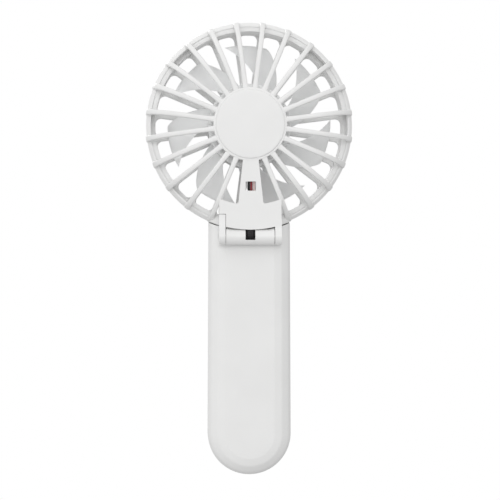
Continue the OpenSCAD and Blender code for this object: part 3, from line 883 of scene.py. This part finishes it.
@dataclass
class FrontGuard(SubAssembly):
    """Air outlet's side of the head: rim, rounded openings between ribs, and the centre cap."""

    rib_count: int = 24
    rib_w: float = 2.2
    mouth_r: float = 42.3
    rim_r: float = 46.5
    rim_in: float = 44.4
    split_y: float = 2.1
    spigot_y: float = -6.05
    centre_r: float = 18.1
    grille_back: float = 9.3
    corner_out: float = 2.3
    corner_in: float = 0.7

    def build(self) -> None:
        """Build and dress the rim, the spigot, the grille and the cap."""
        front = self.lay.front_y
        profile = rounded([(self.mouth_r + 0.35, self.split_y + 0.05), (self.rim_r, self.split_y + 0.05),
                           (self.rim_r, 9.4), (self.rim_r - 2.4, front), (self.mouth_r + 0.9, front - 0.4),
                           (self.mouth_r + 0.35, 9.6)], [0.1, 0.25, 2.0, 1.0, 0.3, 0.1])
        self.dress(revolve("front_rim", profile, self.lay.fan_z, 192), "shell_white", Body.HEAD, "front_guard")
        self.spigot()
        self.grille()
        rim = self.centre_r + 0.8
        ring = rounded([(14.7, front - 0.1), (14.7, 9.2), (rim, 9.2), (rim, front - 0.45), (rim - 1, front)],
                       [0.15, 0.2, 0.3, 0.3, 0.5])
        self.dress(revolve("front_centre_ring", ring, self.lay.fan_z, 120), "shell_white", Body.HEAD, "front_guard")
        r = np.linspace(0, 13.6, 12)
        dish = np.stack([r, front + 0.5 - 0.35 * (1 - (r / 13.6) ** 2)], 1)
        edge = rounded([(13.6, front + 0.5), (14.5, front + 0.1), (14.5, 9.3), (0, 9.3)], [0, 0.3, 0.1, 0],
                       closed=False)
        cap = revolve("front_centre_cap", np.vstack([dish, edge[1:]]), self.lay.fan_z, 120, closed=False)
        self.dress(cap, "shell_white", Body.HEAD, "front_cap")

    def spigot(self) -> None:
        """Wall that plugs into the rear rim, in five arcs with a gap for a clip between them."""
        low, high = self.mouth_r + 0.05, self.rim_in - 0.06
        profile = rounded([(low, self.spigot_y), (high, self.spigot_y), (high, self.split_y + 0.3),
                           (low + 0.3, self.split_y + 0.3)], [0.15, 0.06, 0, 0])
        for number, (start, end) in enumerate(SPIGOT_ENDS):
            arc = revolve(f"spigot_{number + 1}", profile, self.lay.fan_z, 240,
                          arc=(start + CLIP_HALF, end - CLIP_HALF))
            self.dress(arc, "shell_white", Body.HEAD, "front_guard")

    def loop(self, grow: float) -> np.ndarray:
        """Outline of one opening, taken outwards by grow, as (x, radius) points.

        Its sides keep half a rib's width from the rays midway between openings, x = r * sin(7.5 deg) - w / 2,
        and its corners are arcs.
        """
        half = math.radians(180 / self.rib_count)
        r0, r1 = self.centre_r + 0.9 - grow, self.mouth_r + 0.2 + grow
        side = lambda r: r * math.sin(half) - (self.rib_w / 2 - grow)
        corners = [(-side(r0), r0), (side(r0), r0), (side(r1), r1), (-side(r1), r1)]
        radii = [self.corner_in + grow, self.corner_in + grow, self.corner_out + grow, self.corner_out + grow]
        arcs = [rounded(corners, [radii[k] if k == m else 0 for k in range(4)], steps=8) for m in range(4)]
        pick = [arcs[m][m:m + 9] for m in range(4)]
        spans = [6, 14, 8, 14]
        parts = []
        for m in range(4):
            nxt = pick[(m + 1) % 4][0]
            t = np.linspace(0, 1, spans[m] + 1)[1:-1, None]
            parts += [pick[m], pick[m][-1] * (1 - t) + nxt * t]
        return np.concatenate(parts)

    def cell(self) -> np.ndarray:
        """Border of one rib-to-rib cell, matched point for point to the opening's outline."""
        half = math.radians(180 / self.rib_count)
        r0, r1 = self.centre_r - 0.4, self.mouth_r + 1.2
        hx = lambda r: r * math.sin(half)
        c = np.array([(-hx(r0), r0), (hx(r0), r0), (hx(r1), r1), (-hx(r1), r1)])
        spans = [6, 14, 8, 14]
        share = [(0.06, 0.25), (0.25, 0.06), (0.12, 0.3), (0.3, 0.12)]
        parts = []
        for m in range(4):
            before, after = c[m - 1] - c[m], c[(m + 1) % 4] - c[m]
            t = np.linspace(0, 1, 5)[:, None]
            parts.append(np.vstack([c[m] + before * share[m][0] * (1 - t), (c[m] + after * share[m][1] * t)[1:]]))
            start = c[m] + after * share[m][1]
            end = c[(m + 1) % 4] + (c[m] - c[(m + 1) % 4]) * share[(m + 1) % 4][0]
            t = np.linspace(0, 1, spans[m] + 1)[1:-1, None]
            parts.append(start * (1 - t) + end * t)
        return np.concatenate(parts)

    def grille(self) -> None:
        """Ribs between rounded openings as one closed skin.

        Round each opening the skin runs from the cell's border over the front, rolls over a quarter round into
        the opening, runs to the back and rolls out again. A point (x, r) of a cell lies at sqrt(r^2 - x^2) up
        from the axis, and the front face crowns by 0.35 mm between hub and rim.
        """
        front, back, roll = self.lay.front_y - 0.45, self.grille_back, 0.55
        q = np.linspace(0, np.pi / 2, 5)
        rows = [(self.cell(), front)]
        rows += [(self.loop(roll * (1 - math.sin(t))), front - roll * (1 - math.cos(t))) for t in q]
        rows += [(self.loop(roll * (1 - math.cos(t))), back + roll * (1 - math.sin(t))) for t in q]
        rows += [(self.cell(), back)]
        flat = np.stack([r[0] for r in rows])
        y = np.array([r[1] for r in rows])[:, None] + np.zeros(flat.shape[:2])
        crown = 0.35 * np.sin(np.pi * (flat[..., 1] - self.centre_r) / (self.mouth_r - self.centre_r))
        y = y + crown * (y - back) / (front - back)
        x, up = flat[..., 0], np.sqrt(flat[..., 1] ** 2 - flat[..., 0] ** 2)
        turns = fan_turns(self.rib_count)
        px = x[None] * np.cos(turns) + up[None] * np.sin(turns)
        pz = self.lay.fan_z - x[None] * np.sin(turns) + up[None] * np.cos(turns)
        points = np.stack([px, np.broadcast_to(y[None], px.shape), pz], axis=-1).reshape(-1, 3)
        nrow, ncol = x.shape
        one = grid_quads(nrow, ncol, wrap_cols=True)
        inner = np.arange(4, 18)
        outer = np.arange(40, 56)
        last = (nrow - 1) * ncol
        walls = np.concatenate([np.stack([s, s + 1, s + 1 + last, s + last], 1) for s in (inner, outer)])
        one = np.vstack([one, walls])
        faces = copied_faces(one, self.rib_count, nrow * ncol)
        self.dress(solid("front_grille", points, faces, 50), "shell_white", Body.HEAD, "front_guard")


@dataclass
class Impeller(SubAssembly):
    """Hub with swept blades, which spins about the fan axis."""

    blade_count: int = 7
    hub_r: float = 18.6
    tip_r: float = 36.9
    thick: float = 1.3

    def build(self) -> None:
        """Build and dress the hub and the blades."""
        outer = rounded([(0, 6.2), (self.hub_r, 6.2), (self.hub_r, -9.2), (15.9, -9.2), (15.9, -8.2), (17.4, -8.2),
                         (17.4, 4.6), (0, 4.6)], [0, 1.8, 0.4, 0.15, 0.1, 0.1, 0.8, 0], closed=False)
        hub = revolve("impeller_hub", outer, self.lay.fan_z, 120, closed=False)
        self.dress(hub, "blade_white", Body.ROTOR, "impeller")
        sleeve = rounded([(14.55, -7.4), (15.6, -7.4), (15.6, 4.7), (14.55, 4.7)], [0.2, 0.2, 0, 0])
        self.dress(revolve("rotor_seat", sleeve, self.lay.fan_z, 96), "blade_white", Body.ROTOR, "impeller")
        boss = rounded([(1.55, 2.0), (3.6, 2.0), (3.6, 4.7), (1.55, 4.7)], [0.2, 0.2, 0, 0])
        self.dress(revolve("shaft_boss", boss, self.lay.fan_z, 48), "blade_white", Body.ROTOR, "impeller")
        self.blades()

    def blades(self) -> None:
        """Blades as closed skins over span s and a loop round the section.

        With s from 0 at the hub to 1 at the tip, the leading edge stands at 14 - 31.5 s degrees and the trailing
        edge at 41 - 26 s - 1.6 s^14 degrees. Across the blade the middle surface climbs from back to front with a
        sine camber, and the thickness is a superellipse that closes at both edges and at the tip.
        """
        s = np.concatenate([np.linspace(0, 0.94, 26), [0.965, 0.983, 0.994, 1.0]])[:, None]
        a = np.linspace(0, 2 * np.pi, 48, endpoint=False)[None, :]
        t = 0.5 - 0.5 * np.cos(a)
        tip = np.sqrt(np.clip(1 - np.clip((s - 0.94) / 0.06, 0, 1) ** 2, 0, 1))
        half = self.thick / 2 * np.sign(np.sin(a)) * np.abs(np.sin(a)) ** 0.45 * tip * (1.15 - 0.35 * s)
        radius = self.hub_r - 0.8 + (self.tip_r - self.hub_r + 0.8) * s
        lead, trail = 14 - 31.5 * s, 41 - 26 * s - 1.6 * s**14
        angle = np.radians(lead + (trail - lead) * t)
        y = -2.6 + 9.2 * t - 1.2 * s * (1 - t) + 1.1 * np.sin(np.pi * t) + half
        turns = fan_turns(self.blade_count)
        px = radius[None] * np.sin(angle[None] + turns)
        pz = self.lay.fan_z + radius[None] * np.cos(angle[None] + turns)
        points = np.stack([px, np.broadcast_to(y[None], px.shape), pz], axis=-1).reshape(-1, 3)
        rows, cols = angle.shape
        one = grid_quads(rows, cols, wrap_cols=True)
        faces = copied_faces(one, self.blade_count, rows * cols)
        for k in range(self.blade_count):
            faces.append(list(range(k * rows * cols, k * rows * cols + cols)))
        self.dress(solid("impeller_blades", points, faces, 60), "blade_white", Body.ROTOR, "impeller")


@dataclass
class Wiring(SubAssembly):
    """Motor leads in the cable spoke and the braided sleeve across the hinge."""

    lead_r: float = 0.52
    sleeve_r: float = 1.95

    def build(self) -> None:
        """Build and dress the leads and the sleeve."""
        top, y = self.lay.fan_z, self.lay.plateau_y + 1.75
        for name, x0, x1, x2 in (("lead_black", -0.62, -0.66, -1.07), ("lead_red", 0.48, 0.42, 0.0),
                                 ("lead_white", 1.73, 1.78, 1.07)):
            path = curve_through([(x0, y, top - 13.2), (x0, y, top - 19), (x0, y, top - 24),
                                  (x0 * 0.5 + x1 * 0.5, y, top - 28), (x1, y + 0.05, top - 32),
                                  ((x1 + x2) / 2, y + 0.5, top - 35.5), (x2, self.lay.hinge_y + 0.4, top - 39.4)])
            self.dress(tube(name + "_wire", path, self.lead_r, 16), name, Body.HEAD, name)
        hy, hz = self.lay.hinge_y, self.lay.hinge_z
        path = curve_through([(0, hy + 0.55, hz + 11), (0, hy + 0.55, hz + 8), (0, hy + 0.45, hz + 5),
                              (0, hy + 0.35, hz + 2.6), (0, hy + 0.55, hz + 0.9), (0, hy + 1.45, hz - 0.2),
                              (0, hy + 2.85, hz - 0.5), (0, hy + 4.55, hz - 0.6), (0, hy + 6.75, hz - 0.6)], 8)
        sleeve = tube("ribbed_sleeve", path, self.sleeve_r, 120, ridges=12, ridge_depth=0.11, flat=1.06)
        self.dress(sleeve, "sleeve_black", None, "cable_sleeve")
        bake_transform(sleeve)


# ---------------------------------------------------------------- handle


@dataclass
class Handle(SubAssembly):
    """Grip shells, hinge barrel, and the details on the front."""

    half_w: float = 18.7
    top_half: float = 18.3
    wall: float = 1.8
    saddle_r: float = 47.5
    barrel_r: float = 3.5
    barrel_l: float = 21.6

    def build(self) -> None:
        """Build and dress the shells, the barrel, the button, the lights and the port."""
        self.shells()
        self.barrel()
        self.button()
        self.lights()
        self.port()

    def block(self, name: str, shrink: float, top: float, side: int, gap: float) -> bpy.types.Object:
        """Half of the grip as a closed block, from the centre plane to its front or back face.

        A U-shaped path runs down one side, round the lower end and up the other. At inset d it has half width
        w - d on the sides and radius R - d round the end. Across the path a profile gives the inset and the
        depth: flat panel, shallow chamfer, rounded edge band and side. At full inset both sides meet on the
        line x = 0.

        Args:
            name: the object's name
            shrink: distance to take in on every side
            top: height of the block's top
            side: 1 for the front, -1 for the back
            gap: depth at which the block is cut flat, near the centre plane

        Returns:
            the object
        """
        face = self.lay.front_y - shrink
        edge = rounded([(8.6, face), (7.6, face - 0.02), (4.3, face - 0.8), (0.9, face - 3.6), (0.0, face - 7.2),
                        (0.0, gap)], [0, 1.2, 3.2, 5.5, 5.0, 0], steps=7, closed=False)
        flat = np.stack([np.linspace(self.half_w - shrink, 8.6, 6)[:-1], np.full(5, face)], 1)
        profile = np.vstack([flat, edge])
        wide = self.half_w - shrink - np.minimum(profile[:, 0], self.half_w - shrink)
        zc = self.lay.low_z + self.half_w
        end = np.radians(np.linspace(0, 180, 65))
        z_side = np.linspace(top, zc, 33)[:-1]
        narrow = (self.half_w - self.top_half) * (z_side - zc) / (self.lay.hinge_z + 12 - zc)
        x_side = wide[None, :] * (1 - narrow / (self.half_w - shrink))[:, None]
        right = np.stack([x_side, np.broadcast_to(z_side[:, None], x_side.shape)], -1)
        arc = np.stack([wide[None, :] * np.cos(end)[:, None], zc - wide[None, :] * np.sin(end)[:, None]], -1)
        path = np.concatenate([right, arc, (right * [-1, 1])[::-1]])
        y = np.broadcast_to(side * profile[None, :, 1], path.shape[:2])
        points = np.stack([path[..., 0], y, path[..., 1]], -1).reshape(-1, 3)
        rows, cols = path.shape[:2]
        faces = grid_quads(rows, cols).tolist()
        faces.append([i * cols + cols - 1 for i in range(rows)])
        faces.append(list(range(cols)) + [(rows - 1) * cols + j for j in range(cols - 1, 0, -1)])
        return solid(name, points, faces, 30)

    def cylinder_cut(self, name: str, radius: float, y0: float = -40.0, y1: float = 40.0) -> bpy.types.Object:
        """A plain cylinder about the fan axis, used as a cutter."""
        profile = np.array([(0, y0), (radius, y0), (radius, y1), (0, y1)], float)
        return revolve(name, profile, self.lay.fan_z, 256, closed=False)

    def box_cut(self, name: str, x: tuple, y: tuple, z: tuple) -> bpy.types.Object:
        """A box from three (low, high) pairs, used as a cutter."""
        return plate(name, np.array([(x[0], z[0]), (x[1], z[0]), (x[1], z[1]), (x[0], z[1])], float), *y)

    def shells(self) -> None:
        """Back and front shells: the block hollowed, topped by the saddle and split at mid depth."""
        top = self.lay.hinge_z + 12
        hz, hy, back = self.lay.hinge_z, self.lay.hinge_y, self.lay.back_y
        for name, node, side in (("grip_back_shell", "handle_back", -1), ("grip_front_shell", "handle_front", 1)):
            shell = self.block(name, 0.0, top, side, 0.05)
            hollow = self.block("hollow", self.wall, top - 3, side, -0.5)
            combine(hollow, "DIFFERENCE", self.cylinder_cut("hollow_top_cut", self.saddle_r + self.wall))
            port = rounded([(-4.6, -1.75), (4.6, -1.75), (4.6, 1.75), (-4.6, 1.75)], [1.7] * 4, 8)
            port_cut = plate("port_cut", port, self.lay.low_z - 2, self.lay.low_z + 6)
            stand_up(port_cut)
            saddle = self.saddle_r - (SADDLE_STEP if side > 0 else 0)
            cuts = [hollow, self.cylinder_cut("saddle_cut", saddle), port_cut]
            if side < 0:
                a = np.linspace(0, 2 * np.pi, 64, endpoint=False)
                groove = np.stack([hy + 3.85 * np.cos(a), hz + 3.85 * np.sin(a)], 1)
                cuts.append(plate("groove_cut", groove, -14.2, 14.2, "X"))
                cuts.append(self.box_cut("sleeve_cut", (-2.25, 2.25), (hy - 1.9, back + 5), (hz - 2.7, hz + 6)))
            else:
                cuts += self.front_cuts()
            combine(shell, "DIFFERENCE", *cuts, sharp_deg=30)
            soften(shell, 0.22, 50)
            self.dress(shell, "shell_white", Body.HANDLE, node)

    def front_cuts(self) -> list:
        """Cutters for the button's hole and the four light holes in the front."""
        a = np.linspace(0, 2 * np.pi, 96, endpoint=False)
        cuts = [plate("button_cut", np.stack([6.65 * np.cos(a), self.lay.button_z + 6.65 * np.sin(a)], 1), 5, 20)]
        for i in range(4):
            dot = np.stack([LIGHT_PITCH * (i - 1.5) + 0.8 * np.cos(a[::3]),
                            self.lay.button_z - LIGHT_DROP + 0.8 * np.sin(a[::3])], 1)
            cuts.append(plate(f"light_cut_{i}", dot, 5, 20))
        return cuts

    def barrel(self) -> None:
        """Hinge barrel along X with a slot for the sleeve, and the web that ties it to the back shell.

        Towards its ends the barrel's top swells to follow the saddle, z = fan axis - sqrt(radius^2 - x^2), and
        the swelling fades as the squared sine of the angle above the hinge axis.
        """
        hy, hz, back = self.lay.hinge_y, self.lay.hinge_z, self.lay.back_y
        half = self.barrel_l / 2
        corners = [(-half, 0), (-half, self.barrel_r), (half, self.barrel_r), (half, 0)]
        line = rounded(corners, [0, 0.3, 0.3, 0], 4, False)
        even = np.stack([np.linspace(0.4 - half, half - 0.4, 41), np.full(41, self.barrel_r)], 1)
        line = np.vstack([line[:6], even, line[6:]])
        a = np.linspace(0, 2 * np.pi, 96, endpoint=False)[:, None]
        saddle = self.lay.fan_z - hz - np.sqrt((self.saddle_r - 0.1) ** 2 - line[:, 0] ** 2)
        radius = line[:, 1] + np.maximum(saddle - self.barrel_r, 0) * (line[:, 1] > 0) * np.maximum(np.sin(a), 0) ** 2
        points = np.stack([np.broadcast_to(line[:, 0], radius.shape), hy + radius * np.cos(a),
                           hz + radius * np.sin(a)], -1).reshape(-1, 3)
        barrel = solid("hinge_barrel", points, grid_quads(96, len(line), wrap_rows=True).tolist())
        web = self.box_cut("hinge_web", (-half + 0.6, half - 0.6), (hy, back + 1.2), (hz - 2.2, hz + 1.4))
        combine(barrel, "UNION", web)
        combine(barrel, "DIFFERENCE",
                self.box_cut("slot_cut", (-2.2, 2.2), (hy - 5, hy + 1), (hz - 1.35, hz + 6)),
                self.box_cut("inner_slot_cut", (-2.2, 2.2), (hy - 1.9, hy + 8), (hz - 2.7, hz + 6)))
        soften(barrel, 0.22, 50)
        self.dress(barrel, "shell_white", Body.HANDLE, "handle_back")

    def button(self) -> None:
        """Power button: a dished disc with a raised ring, and its retaining flange inside."""
        front, z = self.lay.front_y, self.lay.button_z
        r = np.linspace(0, 4.9, 10)
        dish = np.stack([r, front + 0.55 - 0.3 * (1 - (r / 4.9) ** 2)], 1)
        edge = rounded([(4.9, front + 0.55), (5.15, front + 0.9), (6.4, front + 0.9), (6.4, front - 2.0),
                        (7.8, front - 2.0), (7.8, front - 3.2), (0, front - 3.2)], [0, 0.15, 0.4, 0, 0.1, 0.1, 0],
                       closed=False)
        button = revolve("power_button_cap", np.vstack([dish, edge[1:]]), z, 96, closed=False)
        self.dress(button, "button_white", Body.BUTTON, "power_button")

    def lights(self) -> None:
        """Milky lenses of the four charge lights, each a low dome in its hole."""
        front, z = self.lay.front_y, self.lay.button_z - LIGHT_DROP
        r = np.linspace(0, 0.74, 6)
        dome = np.stack([r, front + 0.02 - 0.25 * (r / 0.74) ** 2], 1)
        profile = np.vstack([dome, [(0.74, front - 2.4), (0, front - 2.4)]])
        for i in range(4):
            lens = revolve(f"charge_light_{i + 1}", profile, z, 24, closed=False)
            move_mesh(lens, LIGHT_PITCH * (i - 1.5))
            self.dress(lens, "light_clear", Body.HANDLE, "light_guide")

    def port(self) -> None:
        """Charging port: a rounded metal shell, open at the grip's end, with a contact tongue inside."""
        low = self.lay.low_z
        shell = plate("port_shell", rounded([(-4.47, -1.6), (4.47, -1.6), (4.47, 1.6), (-4.47, 1.6)], [1.55] * 4, 8),
                      low + 0.5, low + 7.9)
        stand_up(shell)
        bore = plate("port_bore", rounded([(-4.2, -1.33), (4.2, -1.33), (4.2, 1.33), (-4.2, 1.33)], [1.3] * 4, 8),
                     low, low + 6.8)
        stand_up(bore)
        combine(shell, "DIFFERENCE", bore)
        soften(shell, 0.08, 50, 2)
        self.dress(shell, "steel", Body.HANDLE, "usb_socket")
        blade = rounded([(-3.35, -0.35), (3.35, -0.35), (3.35, 0.35), (-3.35, 0.35)], [0.2] * 4, 3)
        tongue = plate("port_tongue", blade, low + 1.3, low + 6.9)
        stand_up(tongue)
        self.dress(tongue, "switch_black", Body.HANDLE, "usb_socket")


def move_mesh(obj: bpy.types.Object, x: float) -> None:
    """Shift a piece's points along X by millimetres, so that its object stays at the origin."""
    co = np.empty(len(obj.data.vertices) * 3, dtype=np.float32)
    obj.data.vertices.foreach_get("co", co)
    moved = co.reshape(-1, 3) + np.array([x, 0, 0], dtype=np.float32) * MM
    obj.data.vertices.foreach_set("co", moved.ravel())
    obj.data.update()


def stand_up(obj: bpy.types.Object) -> None:
    """Swap a plate's Y and Z, so that it runs along Z."""
    co = np.empty(len(obj.data.vertices) * 3, dtype=np.float32)
    obj.data.vertices.foreach_get("co", co)
    obj.data.vertices.foreach_set("co", co.reshape(-1, 3)[:, [0, 2, 1]].ravel())
    obj.data.flip_normals()
    obj.data.update()


# ---------------------------------------------------------------- CAD nodes that stay


@dataclass
class Internals(SubAssembly):
    """Motor, battery and electronics, whose CAD shapes are kept and dressed."""

    def build(self, frame: dict) -> None:
        """Give every CAD node that is still shown its finish.
        """
        wanted = {s["node"]: s["material_slot"] for s in frame["record"]["subparts"]}
        for name, slot in wanted.items():
            node = frame["nodes"][name]
            if node.hide_render:
                continue
            for holder in node.material_slots:
                holder.material = self.mats[slot]
            if not node.material_slots:
                node.data.materials.append(self.mats[slot])
            LOG.info("%s keeps its CAD shape in %s", name, slot)


# ---------------------------------------------------------------- studio


@dataclass
class Studio:
    """Plain white surroundings, three soft lamps and a camera that looks at the fan's back."""

    lay: Layout
    azimuth: float = -2.3
    distance: float = 800.0
    field_mm: float = 225.5
    aim_x: float = 0.3
    aim_rise: float = -5.85
    ambient: float = 0.74
    gradient: tuple[float, float, float] = (-0.1, -0.08, 0.18)

    def build(self, low: float) -> None:
        """Make the floor, the lamps, the surroundings and the camera.

        Args:
            low: height of the object's lowest point, in metres
        """
        self.floor(low)
        self.surroundings()
        self.lamp("key_lamp", (-0.7, -0.9, 0.8), 0.8, 2.0)
        self.lamp("fill_lamp", (0.05, -1.45, 0.5), 0.45, 3.2)
        self.lamp("front_lamp", (-0.5, 1.2, 0.7), 0.6, 4.0)
        self.camera()

    def floor(self, low: float) -> None:
        """A wide pale floor under the fan, which the camera sees but which throws no light on the fan."""
        z = low / MM - 3
        points = np.array([(-3000, -3000, z), (3000, -3000, z), (3000, 3000, z), (-3000, 3000, z)], float)
        floor = solid("floor", points, [[0, 1, 2, 3]])
        mat, _, _, shader, _ = new_material("pale_floor")
        shader.inputs["Base Color"].default_value = (0.0, 0.0, 0.0, 1)
        shader.inputs["Roughness"].default_value = 1.0
        shader.inputs["Specular IOR Level"].default_value = 0.0
        shader.inputs["Emission Color"].default_value = (1, 1, 1, 1)
        shader.inputs["Emission Strength"].default_value = 1.0
        floor.data.materials.append(mat)
        floor.visible_diffuse = False
        floor.visible_glossy = False
        floor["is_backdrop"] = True

    def surroundings(self) -> None:
        """White all round for the camera, and on the fan a soft light that grows towards its brightest side.

        The light's strength in a direction is the mean level plus the direction's dot product with the gradient.
        """
        world = bpy.data.worlds.new("white_room")
        world.use_nodes = True
        nodes, links = world.node_tree.nodes, world.node_tree.links
        seen = nodes["Background"]
        seen.inputs["Color"].default_value = (1, 1, 1, 1)
        seen.inputs["Strength"].default_value = 1.0
        light = nodes.new("ShaderNodeBackground")
        light.inputs["Color"].default_value = (1, 1, 1, 1)
        lean = nodes.new("ShaderNodeVectorMath")
        lean.operation = "DOT_PRODUCT"
        lean.inputs[1].default_value = self.gradient
        links.new(nodes.new("ShaderNodeTexCoord").outputs["Generated"], lean.inputs[0])
        level = nodes.new("ShaderNodeMath")
        level.inputs[1].default_value = self.ambient
        links.new(lean.outputs["Value"], level.inputs[0])
        links.new(level.outputs[0], light.inputs["Strength"])
        choose = nodes.new("ShaderNodeMixShader")
        links.new(nodes.new("ShaderNodeLightPath").outputs["Is Camera Ray"], choose.inputs[0])
        links.new(light.outputs[0], choose.inputs[1])
        links.new(seen.outputs[0], choose.inputs[2])
        links.new(choose.outputs[0], nodes["World Output"].inputs["Surface"])
        bpy.context.scene.world = world

    def lamp(self, name: str, place: tuple, size: float, power: float) -> None:
        """A square soft lamp at place, in metres, turned to the fan's middle."""
        data = bpy.data.lights.new(name, "AREA")
        data.size = size
        data.energy = power
        lamp = bpy.data.objects.new(name, data)
        lamp.location = place
        aim = Vector((0.0, 0.0, 0.05)) - Vector(place)
        lamp.rotation_mode = "QUATERNION"
        lamp.rotation_quaternion = aim.to_track_quat("-Z", "Y")
        bpy.context.collection.objects.link(lamp)

    def camera(self) -> None:
        """A level camera behind the fan, whose frame is field_mm wide at the rim's plane."""
        data = bpy.data.cameras.new("camera")
        data.sensor_width = 36.0
        data.lens = 36.0 * self.distance / self.field_mm
        cam = bpy.data.objects.new("camera", data)
        a = math.radians(self.azimuth)
        target = Vector((self.aim_x, -5.0, self.lay.hinge_z + self.aim_rise)) * MM
        back = Vector((math.sin(a), -math.cos(a), 0.0))
        cam.location = target + back * self.distance * MM
        cam.rotation_mode = "QUATERNION"
        cam.rotation_quaternion = (-back).to_track_quat("-Z", "Y")
        bpy.context.collection.objects.link(cam)
        bpy.context.scene.camera = cam


def main() -> None:
    """Build every sub-assembly in order."""
    logging.basicConfig(level=logging.INFO, format="%(message)s")
    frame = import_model()
    cad_low, cad_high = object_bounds()
    lay = Layout.from_frame(frame)
    mats = Finishes().all_built()
    for part in (RearGuard, FrontGuard, Impeller, Wiring, Handle):
        part(lay, mats).build()
    Internals(lay, mats).build(frame)
    Studio(lay).build(cad_low[2])
    bpy.context.scene.view_settings.view_transform = "Standard"


if __name__ == "__main__":
    main()
